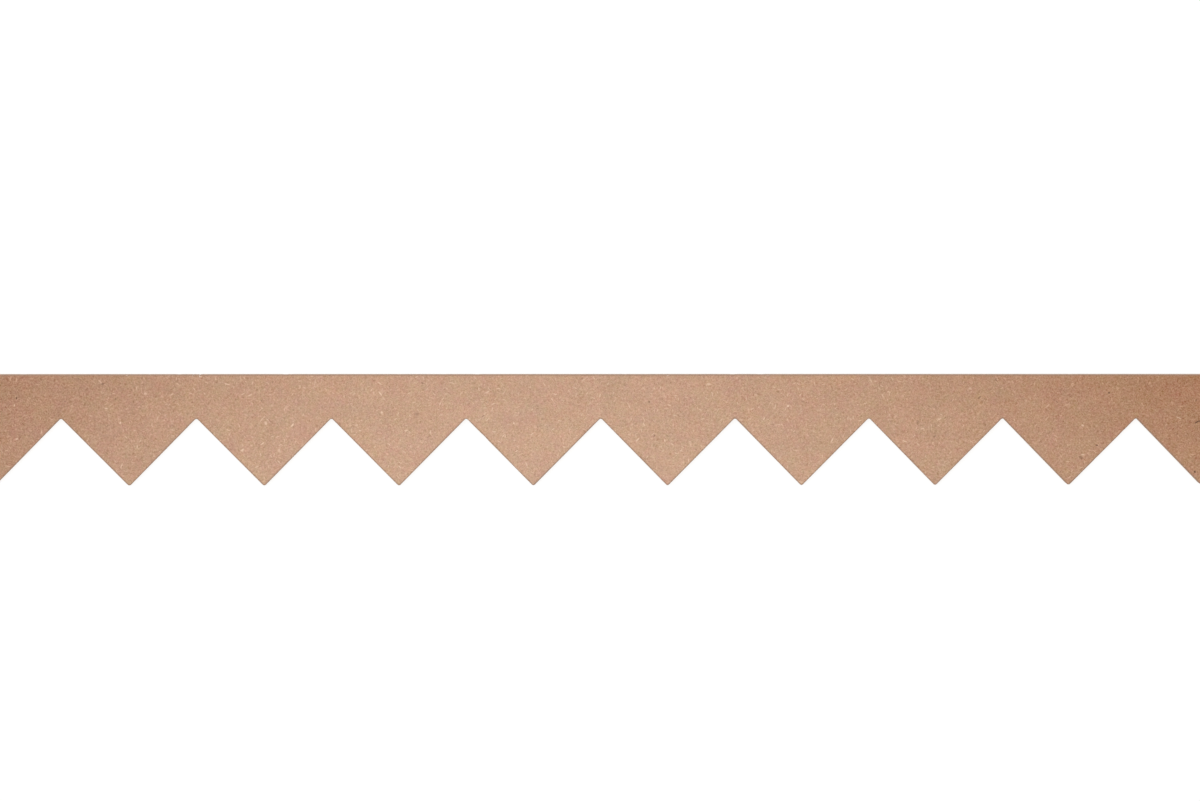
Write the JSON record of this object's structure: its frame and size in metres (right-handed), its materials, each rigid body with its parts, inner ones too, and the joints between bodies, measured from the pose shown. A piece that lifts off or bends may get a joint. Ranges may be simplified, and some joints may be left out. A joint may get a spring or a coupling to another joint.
{
  "type": "zigzag scalloped moulding",
  "caption": "Flat fibreboard trim strip with a straight upper edge and pointed zigzag teeth along its lower edge, for edging shelves, pelmets and furniture.",
  "frame": {"origin": "in the plane of the back face, halfway along the strip and halfway between the straight edge and the tips of the teeth", "axes": "+X along the strip, to the right as the picture shows it; +Y to the straight edge, so the teeth point to -Y; +Z out of the seen face"},
  "size_m": [0.6, 0.055, 0.006],
  "materials": {
    "mdf": "matte"
  },
  "bodies": {
    "root": {"moulding_strip": "mdf"}
  },
  "joints": []
}
